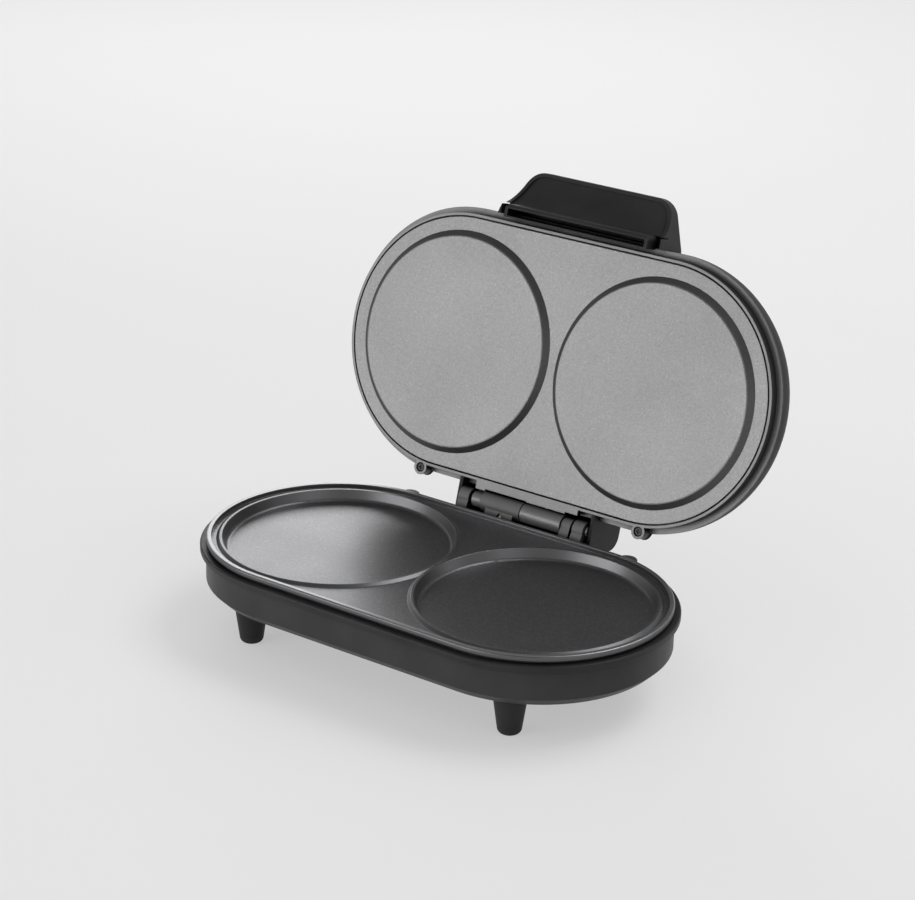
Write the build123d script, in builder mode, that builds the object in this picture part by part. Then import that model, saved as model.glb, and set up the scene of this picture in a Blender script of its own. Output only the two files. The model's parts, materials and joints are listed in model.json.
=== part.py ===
from build123d import *
from math import cos, radians, sin
import os

# A double pancake maker, standing on its feet with the lid open.
# +X runs along its length, +Y points to the hinge at the back, +Z is up.
# The origin is on the table, midway between the two wells.
# Sizes are in millimetres.

os.makedirs("parts", exist_ok=True)

# Wells and the base plate, seen from the centre of a well outwards
well_mouth_r = 91.3
well_taper = 3.3
well_gap = 4.4
crest_width = 2.0
crest_slope = 2.5
band_width = 3.9
lip_width = 3.9

# Heights, from the table up
foot_height = 33.5
tub_height = 30.5
collar_height = 5.0
lip_gap = 1.6
lip_height = 4.4
band_depth = 3.5
crest_rise = 2.0
well_depth = 8.5
well_skin = 0.7
lid_gap = 1.0

# Base plate casting
plate_wall = 4.0
lip_overhang = 2.8
skirt_wall = 2.8
lip_round = 1.4
well_round = 3.0
edge_reach = 0.01

# Tub and collar
tub_step = 0.4
tub_wall = 2.8
tub_bevel = 7.0
tub_round = 2.0
collar_step = 4.5
collar_round = 1.2
collar_chamfer = 0.6
ledge_height = 2.0
ledge_width = 4.2
spigot_wall = 2.1
spigot_depth = 6.0
fit_gap = 0.2
plate_gap = 0.4
join = 1.0

# Lid
lid_open = 106.0
rim_step = 0.5
rim_wall = 2.2
rim_depth = 16.0
rim_gap = 1.2
lid_plate_wall = 2.5
lid_skirt = 5.0
lid_ledge = 2.0
tab_length = 14.0
tab_width = 12.0
tab_inset = 9.7
strip_half = 49.0
strip_depth = 5.0
strip_reach = 4.4
strip_step = 0.7
strip_clear = 0.6
strip_inset = 1.1
disc_clearance = 1.3
disc_taper = 4.9
disc_rise = 4.0
disc_round = 2.0
rail_sink = 0.1
post_sink = 0.2
cover_step = 4.9
cover_wall = 2.2
cover_mouth = 10.0
cover_top = 43.0
cover_round = 31.0
cover_ledge = 2.0
cover_ledge_width = 4.0
rim_flange = 2.0
spigot_gap = 0.6

# Hinge
hinge_behind = 10.2
hinge_rise = 1.5
barrel_r = 8.0
barrel_bore = 5.5
barrel_end = 38.5
barrel_wall = 6.5
barrel_split = 0.4
knuckle_r = 6.5
knuckle_start = 38.9
knuckle_end = 47.6
tower_r = 7.5
tower_start = 50.0
tower_end = 60.0
pin_r = 2.5
pin_running = 0.05
pin_head_r = 3.8
pin_head = 1.2
pin_chamfer = 0.4
web_start = 2.0
web_foot = 0.55
web_side = 0.85
web_drop = 1.25
web_tip = 0.8
web_under = 3.0
web_rise = 4.9
web_slope = 5.0
barrel_web_inset = 6.0
barrel_web_step = 1.5
barrel_web_depth = 9.0
web_depth = 6.0
lid_web_inset = 4.0
lid_web_low = 1.0
lid_web_high = 9.4
lid_web_back = 3.0

# Hood over the hinge
hood_inner = 62.0
hood_wall = 3.0
hood_back = 26.0
hood_round = 12.0
hood_gap = 0.4
stop_gap = 0.3
stop_root = 15.0
stop_near = 5.0
stop_far = 0.5

# Ears at the rear corners
ear_along = 11.7
ear_back = 2.8
ear_r = 6.0
ear_post_r = 3.6
ear_post = 5.0
ear_post_depth = 12.0
ear_sink = 5.0
ear_recess = 2.8
ear_recess_r = 3.9
ear_flare = 16.0
ear_flare_shift = 7.0
ear_flare_end_r = 4.0
ear_neck = 9.6
ear_cap = 2.0
base_ear_r = 8.0
base_ear_rise = 2.0

# Screws
screw_r = 1.9
screw_hole_r = 2.15
screw_head_r = 3.6
screw_head = 2.2
thread_gap = 0.05
post_r = 4.5
column_r = 5.5
post_pitch_y = 60.0
sink_r = 4.2
seat_depth = 6.0
blind_depth = 8.5
blind_gap = 1.0
head_round = 0.9
cross_width = 0.9
tab_thread = 3.5
tab_post_r = 3.9
thread_end = 0.5

# Heating elements and shields
element_r = 3.25
element_gap = 0.1
element_loop_r = 55.0
element_straight = 1.0
cold_x = 14.0
cold_reach = 12.0
cold_bend = 9.0
cold_pin_r = 1.2
cold_pin = 5.0
rail_width = 9.0
rail_depth = 3.5
lid_rail_depth = 5.5
shield_inset = 4.0
shield_window = (40.0, 56.0)
shield_wall = 0.6
shield_rim = 6.0
shield_drop = 7.5
shield_hole_gap = 2.0
lid_shield_drop = 6.0

# Feet
leg_top_r = 13.5
leg_bottom_r = 9.6
pad_height = 6.0
pad_taper = 0.9
pad_round = 4.5
front_foot_inset = 26.4
front_foot_angle = 68.0
rear_foot_inset = 21.5
rear_foot_angle = 80.0

# Handle
handle_block = 67.0
handle_root = 77.5
handle_tip = 64.5
handle_reach = 37.3
handle_top = 33.0
handle_wall = 2.8
handle_foot = 1.0
handle_drop = 5.0
handle_back = 3.5
handle_front = 9.2
handle_corner = 17.0
handle_round = 2.5
handle_gap = 0.1
block_round = 3.0
block_corner = 4.0
scoop_behind = 39.0
scoop_reach = 32.0
scoop_rise = 28.5
scoop_step = 1.5
end_recess = 12.0
slot_half = 64.2
slot_start = 1.2
slot_width = 5.8
slot_floor = 7.3
slot_deep = 18.0
slot_step = 1.7
handle_screw_x = 44.0
handle_screw_depth = 22.5
handle_screw_length = 10.0
handle_boss = 6.0
handle_boss_r = 5.0

# Thermostat and thermal fuse, and the flat place under the plate that they sit on
pad_length = 28.0
pad_width = 44.0
thermostat_y = -10.0
thermostat_r = 8.0
thermostat_height = 7.0
flange_length = 26.0
flange_width = 8.0
flange_wall = 0.8
flange_hole_x = 10.5
blade_x = 4.0
blade_wall = 0.8
blade_width = 6.3
blade_length = 8.0
fuse_y = 14.0
fuse_r = 2.2
fuse_length = 14.0
fuse_lead = 5.0
fuse_lead_r = 0.6
fuse_gap = 0.1
clip_wall = 0.8
clip_width = 6.0
clip_span = 17.0
clip_overlap = 0.5

# Terminal block
block_x = 50.0
block_y = 66.0
block_length = 28.0
block_width = 12.0
block_height = 12.0
block_foot = 4.0
block_foot_edge = 2.0
block_edge_round = 1.2
terminal_pitch_x = 9.0
terminal_pitch_y = 6.0
terminal_r = 1.5
terminal_depth = 7.0
terminal_gap = 0.1
terminal_sink = 1.0
terminal_slot = 0.5
terminal_slot_depth = 0.6

# Indicator windows, lamps and their board
lens_x = 16.0
lens_y = -62.0
lens_r = 4.0
lens_flange = 1.6
lens_wall = 1.2
lens_rise = 0.8
lens_gap = 0.1
lens_round = 0.7
lamp_r = 2.5
lamp_length = 10.0
lamp_round = 2.0
board_depth = 27.0
board_wall = 1.6
board_width = 16.0
board_post = 14.0
board_post_r = 3.2
board_edge = 6.0
board_round = 2.0

# Mains inlet and wires
gland_inset = 11.5
gland_rise = 16.5
gland_r = 6.0
gland_bore_r = 3.7
gland_flange_r = 8.5
gland_out = 4.0
gland_in = 3.0
gland_lock = 1.2
gland_round = 1.5
wire_r = 1.4
wire_gap = 0.4
sleeve_r = 2.2
channel_r = 4.0
channel_x = 18.0
base_wire_bend = 18.0
base_wire_reach = 33.0
base_wire_fall = 34.5
lid_wire_bend = 14.0
lid_wire_rise = 10.0
lid_wire_reach = 31.0
lid_wire_depth = 18.0
wire_bend_r = 20.0

# Worked out from the sizes above
well_spacing = 2 * well_mouth_r + well_gap
well_x = well_spacing / 2
well_floor_r = well_mouth_r - well_taper
disc_foot_r = well_mouth_r - disc_clearance
disc_top_r = disc_foot_r - disc_taper
shield_r = disc_foot_r - shield_inset
tub_bottom = foot_height
tub_top = tub_bottom + tub_height
tub_floor = tub_bottom + tub_wall
collar_top = tub_top + collar_height
lip_bottom = collar_top + lip_gap
lip_top = lip_bottom + lip_height
band_z = lip_top - band_depth
crest_z = band_z + crest_rise
well_floor = crest_z - well_depth
rim_z = lip_top + lid_gap
skirt_bottom = tub_top + ledge_height

crest_r = well_mouth_r + crest_width
band_inner_r = crest_r + crest_slope
lip_inner_r = band_inner_r + band_width
lip_r = lip_inner_r + lip_width
skirt_r = lip_r - lip_overhang
tub_r = lip_r + tub_step
tub_inner_r = tub_r - tub_wall
collar_r = tub_r + collar_step
collar_inner_r = skirt_r + plate_gap
rim_r = lip_r + rim_step
rim_inner_r = rim_r - rim_wall
lid_plate_r = rim_inner_r - rim_gap
cover_r = rim_r + cover_step
cover_inner_r = cover_r - cover_wall

hinge_y = collar_r + hinge_behind
hinge_z = rim_z + hinge_rise
hood_y = rim_r + hood_back + cover_step
hood_outer = hood_inner + hood_wall
ear_x = well_x + ear_along
ear_y = rim_r + ear_back
tower_y = collar_r - collar_step

pad_z = well_floor - plate_wall
rail_bottom = pad_z - rail_depth
column_top = rail_bottom - shield_drop
shield_top = column_top + shield_wall
seat_z = column_top - seat_depth
lid_rail = lid_plate_wall + lid_rail_depth
lid_shield = lid_rail + lid_shield_drop
gland_z = tub_bottom + gland_rise
board_top = board_depth + board_wall
board_post_x = lens_x + board_post

both_sides = (-1, 1)
well_places = [(-well_x, 0), (well_x, 0)]
ear_places = [(-ear_x, ear_y), (ear_x, ear_y)]
tab_y = lid_plate_r - tab_inset
gland_x = well_x - gland_inset
foot_places = {}
for end, inset, angle in (
    ("front", front_foot_inset, -front_foot_angle),
    ("rear", rear_foot_inset, rear_foot_angle),
):
    foot_x = well_x + (tub_r - inset) * cos(radians(angle))
    foot_y = (tub_r - inset) * sin(radians(angle))
    foot_places[f"{end}_left"] = (-foot_x, foot_y)
    foot_places[f"{end}_right"] = (foot_x, foot_y)


# The lid's own plane: x along the length, y towards the hinge, z from the cooking face
# to the outside of the lid. It lies on the rim, turned open about the hinge.
swing = radians(lid_open)
lid = Plane(
    origin=(
        0,
        hinge_y - hinge_y * cos(swing) - hinge_rise * sin(swing),
        hinge_z + hinge_y * sin(swing) - hinge_rise * cos(swing),
    ),
    x_dir=(1, 0, 0),
    z_dir=(0, sin(swing), cos(swing)),
)
away = Axis(lid.origin, lid.z_dir)

# The same two planes turned over: z points down, and from the outside of the lid inwards.
below = Plane(origin=(0, 0, 0), x_dir=(1, 0, 0), z_dir=(0, 0, -1))
lid_back = Plane(origin=lid.origin, x_dir=(1, 0, 0), z_dir=-lid.z_dir)


def in_lid(x, y, d):
    """The place of a point that is given in the lid's own plane."""
    return lid.from_local_coords(Vector(x, y, d))


def base_side(x):
    """A plane across the base at x, for outlines drawn in y and z."""
    return Plane.YZ.offset(x)


def lid_side(x):
    """A plane across the lid at x, for outlines drawn in the lid's y and depth."""
    return Plane(origin=in_lid(x, 0, 0), x_dir=lid.y_dir, z_dir=lid.x_dir)


def tube(points, bends, radius):
    """A round bar along straight runs that are joined by arcs."""
    with BuildPart() as bar:
        with BuildLine() as route:
            FilletPolyline(*points, radius=bends)
        with BuildSketch(Plane(origin=route.line @ 0, z_dir=route.line % 0)):
            Circle(radius)
        sweep()
    return bar.part


def screw(length, cross=False):
    """A pan head screw: its head stands on the XY plane and its shank points down."""
    with BuildPart() as body:
        Cylinder(screw_r, length, align=(Align.CENTER, Align.CENTER, Align.MAX))
        Cylinder(screw_head_r, screw_head, align=(Align.CENTER, Align.CENTER, Align.MIN))
        fillet(body.faces().sort_by(Axis.Z)[-1].edges(), head_round)
        if cross:
            with Locations((0, 0, screw_head)):
                Box(screw_head_r, cross_width, screw_head, mode=Mode.SUBTRACT)
                Box(cross_width, screw_head_r, screw_head, mode=Mode.SUBTRACT)
    return body.part


def element_corners(plane, side):
    """Corners of an element's centre line, from one cold end to the other."""
    far = well_x + element_loop_r
    y = side * element_loop_r
    corners = [
        (cold_x, y, cold_reach),
        (cold_x, y, 0),
        (far, y, 0),
        (far, -y, 0),
        (-far, -y, 0),
        (-far, y, 0),
        (-cold_x, y, 0),
        (-cold_x, y, cold_reach),
    ]
    return [plane.from_local_coords(Vector(*corner)) for corner in corners]


element_bends = [cold_bend] + [element_loop_r - element_straight] * 4 + [cold_bend]


def heater(plane, side):
    """A bent tubular element with a connecting pin in each cold end."""
    with BuildPart() as element:
        add(tube(element_corners(plane, side), element_bends, element_r))
        with Locations(plane.offset(cold_reach)):
            with Locations((-cold_x, side * element_loop_r), (cold_x, side * element_loop_r)):
                Cylinder(cold_pin_r, cold_pin, align=(Align.CENTER, Align.CENTER, Align.MIN))
    return element.part


def heat_shield(plane, side):
    """A shallow sheet pan behind an element. The plane is its face towards the plate."""
    with BuildPart() as pan:
        with BuildSketch(plane):
            SlotCenterToCenter(well_spacing, 2 * shield_r)
        extrude(amount=shield_wall)
        with BuildSketch(plane):
            SlotCenterToCenter(well_spacing, 2 * shield_r)
            SlotCenterToCenter(well_spacing, 2 * (shield_r - shield_wall), mode=Mode.SUBTRACT)
        extrude(amount=-shield_rim)
        with BuildSketch(plane):
            with GridLocations(well_spacing, post_pitch_y, 2, 2):
                Circle(screw_hole_r)
            with Locations((-cold_x, side * element_loop_r), (cold_x, side * element_loop_r)):
                Circle(element_r + shield_hole_gap)
        extrude(amount=shield_wall, mode=Mode.SUBTRACT)
    return pan.part


# Base shell: the tub, with screw columns, ear posts, inlet and lid stops
stop_top = in_lid(0, hood_y - stop_near, -stop_gap)
stop_low = in_lid(0, hood_y - stop_far, -stop_gap)
inlet = Plane(origin=(gland_x, tub_r, gland_z), x_dir=(1, 0, 0), z_dir=(0, 1, 0))
base_wire_turn = (-channel_x, hinge_y - base_wire_bend, hinge_z - base_wire_bend)
base_wire_drop = (-channel_x, hinge_y - base_wire_reach, hinge_z - base_wire_fall)
base_channel = tube(
    [(-channel_x, hinge_y, hinge_z), base_wire_turn, base_wire_drop], [wire_bend_r], channel_r
)

with BuildPart() as base_shell:
    with BuildSketch(Plane.XY.offset(tub_bottom)):
        SlotCenterToCenter(well_spacing, 2 * tub_r)
    extrude(amount=tub_height)
    chamfer(base_shell.faces().sort_by(Axis.Z)[0].edges(), tub_bevel)
    fillet(base_shell.faces().sort_by(Axis.Z)[0].edges(), tub_round)
    offset(amount=-tub_wall, openings=base_shell.faces().sort_by(Axis.Z)[-1])
    with BuildSketch(Plane.XY.offset(tub_floor)):
        with GridLocations(well_spacing, post_pitch_y, 2, 2):
            Circle(column_r)
    extrude(amount=column_top - tub_floor)
    with BuildSketch(Plane.XY.offset(tub_top)):
        with Locations(*ear_places):
            Circle(ear_r)
            with Locations((0, -ear_r)):
                Rectangle(2 * ear_r, 2 * ear_r)
        SlotCenterToCenter(well_spacing, 2 * tub_inner_r, mode=Mode.SUBTRACT)
    extrude(amount=-ear_post_depth)
    for side in both_sides:
        with BuildSketch(base_side(side * (hood_inner + hood_wall / 2))):
            with BuildLine():
                Polyline(
                    (tub_r - tub_wall / 2, tub_top - join),
                    (collar_r + plate_gap, tub_top - join),
                    (stop_top.Y, stop_top.Z),
                    (stop_low.Y, stop_low.Z),
                    (tub_r - tub_wall / 2, tub_top - stop_root),
                    close=True,
                )
            make_face()
        extrude(amount=hood_wall / 2, both=True)
    with Locations(below.offset(-tub_bottom)):
        with GridLocations(well_spacing, post_pitch_y, 2, 2):
            CounterBoreHole(screw_hole_r, sink_r, seat_z - tub_bottom, depth=column_top - tub_bottom)
    with Locations(below.offset(ear_post_depth - tub_top)):
        with Locations((-ear_x, -ear_y), (ear_x, -ear_y)):
            CounterBoreHole(screw_hole_r, screw_head_r + plate_gap, ear_sink, depth=ear_post_depth)
    with BuildSketch(Plane.XY.offset(tub_bottom)):
        with Locations(*foot_places.values()):
            Circle(screw_hole_r)
    extrude(amount=tub_wall, mode=Mode.SUBTRACT)
    with BuildSketch(inlet):
        Circle(gland_r)
    extrude(amount=-3 * tub_wall, mode=Mode.SUBTRACT)
    add(base_channel, mode=Mode.SUBTRACT)
base_shell.part.label = "base_shell"
export_step(base_shell.part, "parts/base_shell.step")


def web_outline(radius, low):
    """Outline in y and z of a wall from the collar to the hinge."""
    with BuildSketch() as outline:
        with BuildLine():
            Polyline(
                (tower_y - web_start, tub_top),
                (tower_y + fit_gap, tub_top),
                (tower_y + fit_gap, tub_top - low),
                (hinge_y - radius - web_under, tub_top - low * web_foot),
                (hinge_y - radius * web_side, hinge_z - radius * web_drop),
                (hinge_y, hinge_z),
                (hinge_y - web_rise, hinge_z + web_rise * web_tip),
                (hinge_y - radius - web_slope, collar_top),
                (tower_y - web_start, collar_top),
                close=True,
            )
        make_face()
        with Locations((hinge_y, hinge_z)):
            Circle(radius)
    return outline.sketch


# Base frame: the collar with its ledge and spigot, ears, towers, knuckle and barrel half
barrel_web = web_outline(barrel_r - barrel_web_step, barrel_web_depth)
tower_web = web_outline(tower_r, web_depth)
knuckle_web = web_outline(knuckle_r, web_depth)

with BuildPart() as base_frame:
    with BuildSketch(Plane.XY.offset(tub_top)):
        SlotCenterToCenter(well_spacing, 2 * collar_r)
    extrude(amount=collar_height)
    fillet(base_frame.faces().sort_by(Axis.Z)[-1].edges(), collar_round)
    chamfer(base_frame.faces().sort_by(Axis.Z)[0].edges(), collar_chamfer)
    with BuildSketch(Plane.XY.offset(tub_top)):
        with Locations(*ear_places):
            Circle(base_ear_r)
    extrude(amount=collar_height + base_ear_rise)
    fillet(base_frame.faces().group_by(Axis.Z)[-1].edges(), collar_round)
    with BuildSketch(Plane.XY.offset(collar_top)):
        SlotCenterToCenter(well_spacing, 2 * (lip_r + plate_gap))
    extrude(amount=base_ear_rise, mode=Mode.SUBTRACT)
    with BuildSketch(Plane.XY.offset(tub_top)):
        SlotCenterToCenter(well_spacing, 2 * collar_inner_r)
    extrude(amount=collar_height, mode=Mode.SUBTRACT)
    with BuildSketch(Plane.XY.offset(tub_top)):
        SlotCenterToCenter(well_spacing, 2 * (collar_inner_r + join))
        SlotCenterToCenter(well_spacing, 2 * (collar_inner_r - ledge_width), mode=Mode.SUBTRACT)
    extrude(amount=ledge_height)
    with BuildSketch(Plane.XY.offset(tub_top)):
        SlotCenterToCenter(well_spacing, 2 * (tub_inner_r - fit_gap))
        SlotCenterToCenter(
            well_spacing, 2 * (tub_inner_r - fit_gap - spigot_wall), mode=Mode.SUBTRACT
        )
    extrude(amount=-spigot_depth)
    with BuildSketch(base_side(-barrel_end + barrel_web_inset)):
        add(barrel_web)
    extrude(amount=barrel_end - 2 * barrel_web_inset)
    with BuildSketch(base_side(-barrel_end)):
        with Locations((hinge_y, hinge_z)):
            Circle(barrel_r)
    extrude(amount=barrel_end - barrel_split)
    with BuildSketch(base_side(knuckle_start)):
        add(knuckle_web)
    extrude(amount=knuckle_end - knuckle_start)
    for start in (-tower_end, tower_start):
        with BuildSketch(base_side(start)):
            add(tower_web)
        extrude(amount=tower_end - tower_start)
    with BuildSketch(base_side(-tower_end)):
        with Locations((hinge_y, hinge_z)):
            Circle(pin_r)
    extrude(amount=2 * tower_end, mode=Mode.SUBTRACT)
    with BuildSketch(base_side(-barrel_end + barrel_wall)):
        with Locations((hinge_y, hinge_z)):
            Circle(barrel_bore)
    extrude(amount=barrel_end - barrel_wall, mode=Mode.SUBTRACT)
    with BuildSketch(Plane.XY.offset(tub_top)):
        with Locations(*ear_places):
            Circle(screw_r + thread_gap)
    extrude(amount=collar_height - ear_cap, mode=Mode.SUBTRACT)
    add(base_channel, mode=Mode.SUBTRACT)
base_frame.part.label = "base_frame"
export_step(base_frame.part, "parts/base_frame.step")

# Base plate: lip, flat band, raised rings and wells, with the rail and posts underneath
with BuildPart() as base_plate:
    with BuildSketch(Plane.XY.offset(lip_bottom)):
        SlotCenterToCenter(well_spacing, 2 * lip_r)
    extrude(amount=lip_height)
    fillet(base_plate.faces().sort_by(Axis.Z)[-1].edges(), lip_round)
    fillet(base_plate.faces().sort_by(Axis.Z)[0].edges(), lip_round / 2)
    with BuildSketch(Plane.XY.offset(band_z)):
        SlotCenterToCenter(well_spacing, 2 * lip_inner_r)
    extrude(amount=band_depth, mode=Mode.SUBTRACT)
    with BuildSketch(Plane.XY.offset(band_z - plate_wall)):
        SlotCenterToCenter(well_spacing, 2 * skirt_r)
    extrude(amount=plate_wall)
    with BuildSketch(Plane.XY.offset(skirt_bottom)):
        SlotCenterToCenter(well_spacing, 2 * skirt_r)
        SlotCenterToCenter(well_spacing, 2 * (skirt_r - skirt_wall), mode=Mode.SUBTRACT)
    extrude(amount=lip_bottom - skirt_bottom)
    with Locations((-well_x, 0, band_z), (well_x, 0, band_z)):
        Cone(
            band_inner_r, crest_r, crest_rise, align=(Align.CENTER, Align.CENTER, Align.MIN)
        )
    with BuildSketch(Plane.XY.offset(well_floor - plate_wall)):
        with Locations(*well_places):
            Circle(well_mouth_r + well_skin)
        Rectangle(pad_length, pad_width)
    extrude(amount=band_z - well_floor)
    with BuildSketch(Plane.XY.offset(rail_bottom)):
        SlotCenterToCenter(well_spacing, 2 * element_loop_r + rail_width)
        SlotCenterToCenter(well_spacing, 2 * element_loop_r - rail_width, mode=Mode.SUBTRACT)
    extrude(amount=band_z - plate_wall - rail_bottom + join)
    with BuildSketch(Plane.XY.offset(shield_top)):
        with GridLocations(well_spacing, post_pitch_y, 2, 2):
            Circle(post_r)
    extrude(amount=well_floor - plate_wall - shield_top + join)
    with Locations((-well_x, 0, well_floor), (well_x, 0, well_floor)):
        Cone(
            well_floor_r,
            well_mouth_r,
            well_depth,
            align=(Align.CENTER, Align.CENTER, Align.MIN),
            mode=Mode.SUBTRACT,
        )
    fillet(
        base_plate.edges().filter_by(GeomType.CIRCLE).filter_by_position(
            Axis.Z, well_floor - edge_reach, well_floor + edge_reach
        ),
        well_round,
    )
    with BuildSketch(Plane.XY.offset(shield_top)):
        with GridLocations(well_spacing, post_pitch_y, 2, 2):
            Circle(screw_r + thread_gap)
    extrude(amount=blind_depth, mode=Mode.SUBTRACT)
    add(
        tube(
            element_corners(below.offset(-rail_bottom), -1),
            element_bends,
            element_r + element_gap,
        ),
        mode=Mode.SUBTRACT,
    )
base_plate.part.label = "base_plate"
export_step(base_plate.part, "parts/base_plate.step")

# Base element and its shield
with BuildPart() as base_heater:
    add(heater(below.offset(-rail_bottom), -1))
base_heater.part.label = "base_heater"
export_step(base_heater.part, "parts/base_heater.step")

with BuildPart() as base_heat_shield:
    add(heat_shield(below.offset(-shield_top), -1))
    with BuildSketch(Plane.XY.offset(column_top)):
        Rectangle(*shield_window)
    extrude(amount=shield_wall, mode=Mode.SUBTRACT)
base_heat_shield.part.label = "base_heat_shield"
export_step(base_heat_shield.part, "parts/base_heat_shield.step")

# Screws of the base
with BuildPart() as base_plate_screws:
    plate_screw = screw(shield_top - seat_z + blind_depth - blind_gap)
    with Locations(below.offset(-seat_z)):
        with GridLocations(well_spacing, post_pitch_y, 2, 2):
            add(plate_screw)
base_plate_screws.part.label = "base_plate_screws"
export_step(base_plate_screws.part, "parts/base_plate_screws.step")

with BuildPart() as base_ear_screws:
    ear_screw = screw(ear_post_depth - ear_sink + collar_height - ear_cap - thread_end)
    with Locations(below.offset(ear_post_depth - ear_sink - tub_top)):
        with Locations((-ear_x, -ear_y), (ear_x, -ear_y)):
            add(ear_screw)
base_ear_screws.part.label = "base_ear_screws"
export_step(base_ear_screws.part, "parts/base_ear_screws.step")

# Feet: a tapered leg, a rubber tip and a screw from inside the tub
foot_screw_length = 14.0
for name, (x, y) in foot_places.items():
    with BuildPart() as foot:
        with Locations((x, y, pad_height)):
            Cone(
                leg_bottom_r,
                leg_top_r,
                foot_height - pad_height,
                align=(Align.CENTER, Align.CENTER, Align.MIN),
            )
        with Locations((x, y, tub_bottom)):
            Cylinder(
                screw_r + thread_gap,
                foot_screw_length - tub_wall + thread_end,
                align=(Align.CENTER, Align.CENTER, Align.MAX),
                mode=Mode.SUBTRACT,
            )
    foot.part.label = f"foot_{name}"
    export_step(foot.part, f"parts/foot_{name}.step")
    with BuildPart() as pad:
        with Locations((x, y, 0)):
            Cone(
                leg_bottom_r - pad_taper,
                leg_bottom_r,
                pad_height,
                align=(Align.CENTER, Align.CENTER, Align.MIN),
            )
        fillet(pad.faces().sort_by(Axis.Z)[0].edges(), pad_round)
    pad.part.label = f"foot_pad_{name}"
    export_step(pad.part, f"parts/foot_pad_{name}.step")

with BuildPart() as foot_screws:
    foot_screw = screw(foot_screw_length)
    with Locations(*[(x, y, tub_floor) for x, y in foot_places.values()]):
        add(foot_screw)
foot_screws.part.label = "foot_screws"
export_step(foot_screws.part, "parts/foot_screws.step")

# Hinge pins: pressed into the base, turning in the lid's bores
pin_length = tower_end - barrel_end + barrel_wall
for name, side in (("left", -1), ("right", 1)):
    with BuildPart() as hinge_pin:
        with BuildSketch(base_side(side * tower_end)):
            with Locations((hinge_y, hinge_z)):
                Circle(pin_r)
        extrude(amount=-side * pin_length)
        with BuildSketch(base_side(side * tower_end)):
            with Locations((hinge_y, hinge_z)):
                Circle(pin_head_r)
        extrude(amount=side * pin_head)
        chamfer(hinge_pin.faces().sort_by(Axis.X)[0 if side < 0 else -1].edges(), pin_chamfer)
    hinge_pin.part.label = f"hinge_pin_{name}"
    export_step(hinge_pin.part, f"parts/hinge_pin_{name}.step")

# Thermostat and thermal fuse under the middle of the base plate
with BuildPart() as thermostat:
    with BuildSketch(Plane.XY.offset(pad_z)):
        with Locations((0, thermostat_y)):
            Circle(thermostat_r)
            Rectangle(flange_length, flange_width)
        with Locations((-flange_hole_x, thermostat_y), (flange_hole_x, thermostat_y)):
            Circle(flange_width / 5, mode=Mode.SUBTRACT)
    extrude(amount=-flange_wall)
    with BuildSketch(Plane.XY.offset(pad_z)):
        with Locations((0, thermostat_y)):
            Circle(thermostat_r)
    extrude(amount=-thermostat_height)
    with BuildSketch(Plane.XY.offset(pad_z - thermostat_height)):
        with Locations((-blade_x, thermostat_y), (blade_x, thermostat_y)):
            Rectangle(blade_wall, blade_width)
    extrude(amount=-blade_length)
thermostat.part.label = "thermostat"
export_step(thermostat.part, "parts/thermostat.step")

fuse_z = pad_z - fuse_r - fuse_gap
fuse_end = fuse_length / 2 + fuse_lead
with BuildPart() as thermal_fuse:
    with BuildSketch(base_side(-fuse_length / 2)):
        with Locations((fuse_y, fuse_z)):
            Circle(fuse_r)
    extrude(amount=fuse_length)
    with BuildSketch(base_side(-fuse_end)):
        with Locations((fuse_y, fuse_z)):
            Circle(fuse_lead_r)
    extrude(amount=2 * fuse_end)
thermal_fuse.part.label = "thermal_fuse"
export_step(thermal_fuse.part, "parts/thermal_fuse.step")

with BuildPart() as fuse_clip:
    with BuildSketch(base_side(-clip_width / 2)):
        with Locations((fuse_y, fuse_z)):
            Circle(fuse_r + fuse_gap + clip_wall)
        with Locations((fuse_y, pad_z - clip_wall / 2)):
            Rectangle(clip_span, clip_wall)
        with Locations((fuse_y, fuse_z)):
            Circle(fuse_r + fuse_gap, mode=Mode.SUBTRACT)
        with Locations((fuse_y, pad_z + clip_span / 2)):
            Rectangle(clip_span, clip_span, mode=Mode.SUBTRACT)
        with Locations((fuse_y, pad_z - clip_wall / 2)):
            Rectangle(2 * (fuse_r - clip_overlap), clip_wall, mode=Mode.SUBTRACT)
    extrude(amount=clip_width)
fuse_clip.part.label = "fuse_clip"
export_step(fuse_clip.part, "parts/fuse_clip.step")

# Terminal block on the tub's floor, with its screws
block_top = tub_floor + block_height
with BuildPart() as terminal_block:
    with Locations((block_x, block_y, tub_floor)):
        Box(
            block_length + 2 * block_foot_edge,
            block_width + 4 * block_foot_edge,
            block_foot,
            align=(Align.CENTER, Align.CENTER, Align.MIN),
        )
        Box(
            block_length,
            block_width,
            block_height,
            align=(Align.CENTER, Align.CENTER, Align.MIN),
        )
    fillet(terminal_block.edges().filter_by(Axis.Z), block_edge_round)
    with BuildSketch(Plane.XY.offset(block_top)):
        with Locations((block_x, block_y)):
            with GridLocations(terminal_pitch_x, terminal_pitch_y, 3, 2):
                Circle(terminal_r + terminal_gap)
    extrude(amount=-terminal_depth, mode=Mode.SUBTRACT)
terminal_block.part.label = "terminal_block"
export_step(terminal_block.part, "parts/terminal_block.step")

with BuildPart() as terminal_screws:
    with BuildSketch(Plane.XY.offset(block_top - terminal_sink)):
        with Locations((block_x, block_y)):
            with GridLocations(terminal_pitch_x, terminal_pitch_y, 3, 2):
                Circle(terminal_r)
    extrude(amount=terminal_sink - terminal_depth)
    with BuildSketch(Plane.XY.offset(block_top - terminal_sink)):
        with Locations((block_x, block_y)):
            with GridLocations(terminal_pitch_x, terminal_pitch_y, 3, 2):
                Rectangle(3 * terminal_r, terminal_slot)
    extrude(amount=-terminal_slot_depth, mode=Mode.SUBTRACT)
terminal_screws.part.label = "terminal_screws"
export_step(terminal_screws.part, "parts/terminal_screws.step")

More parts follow.
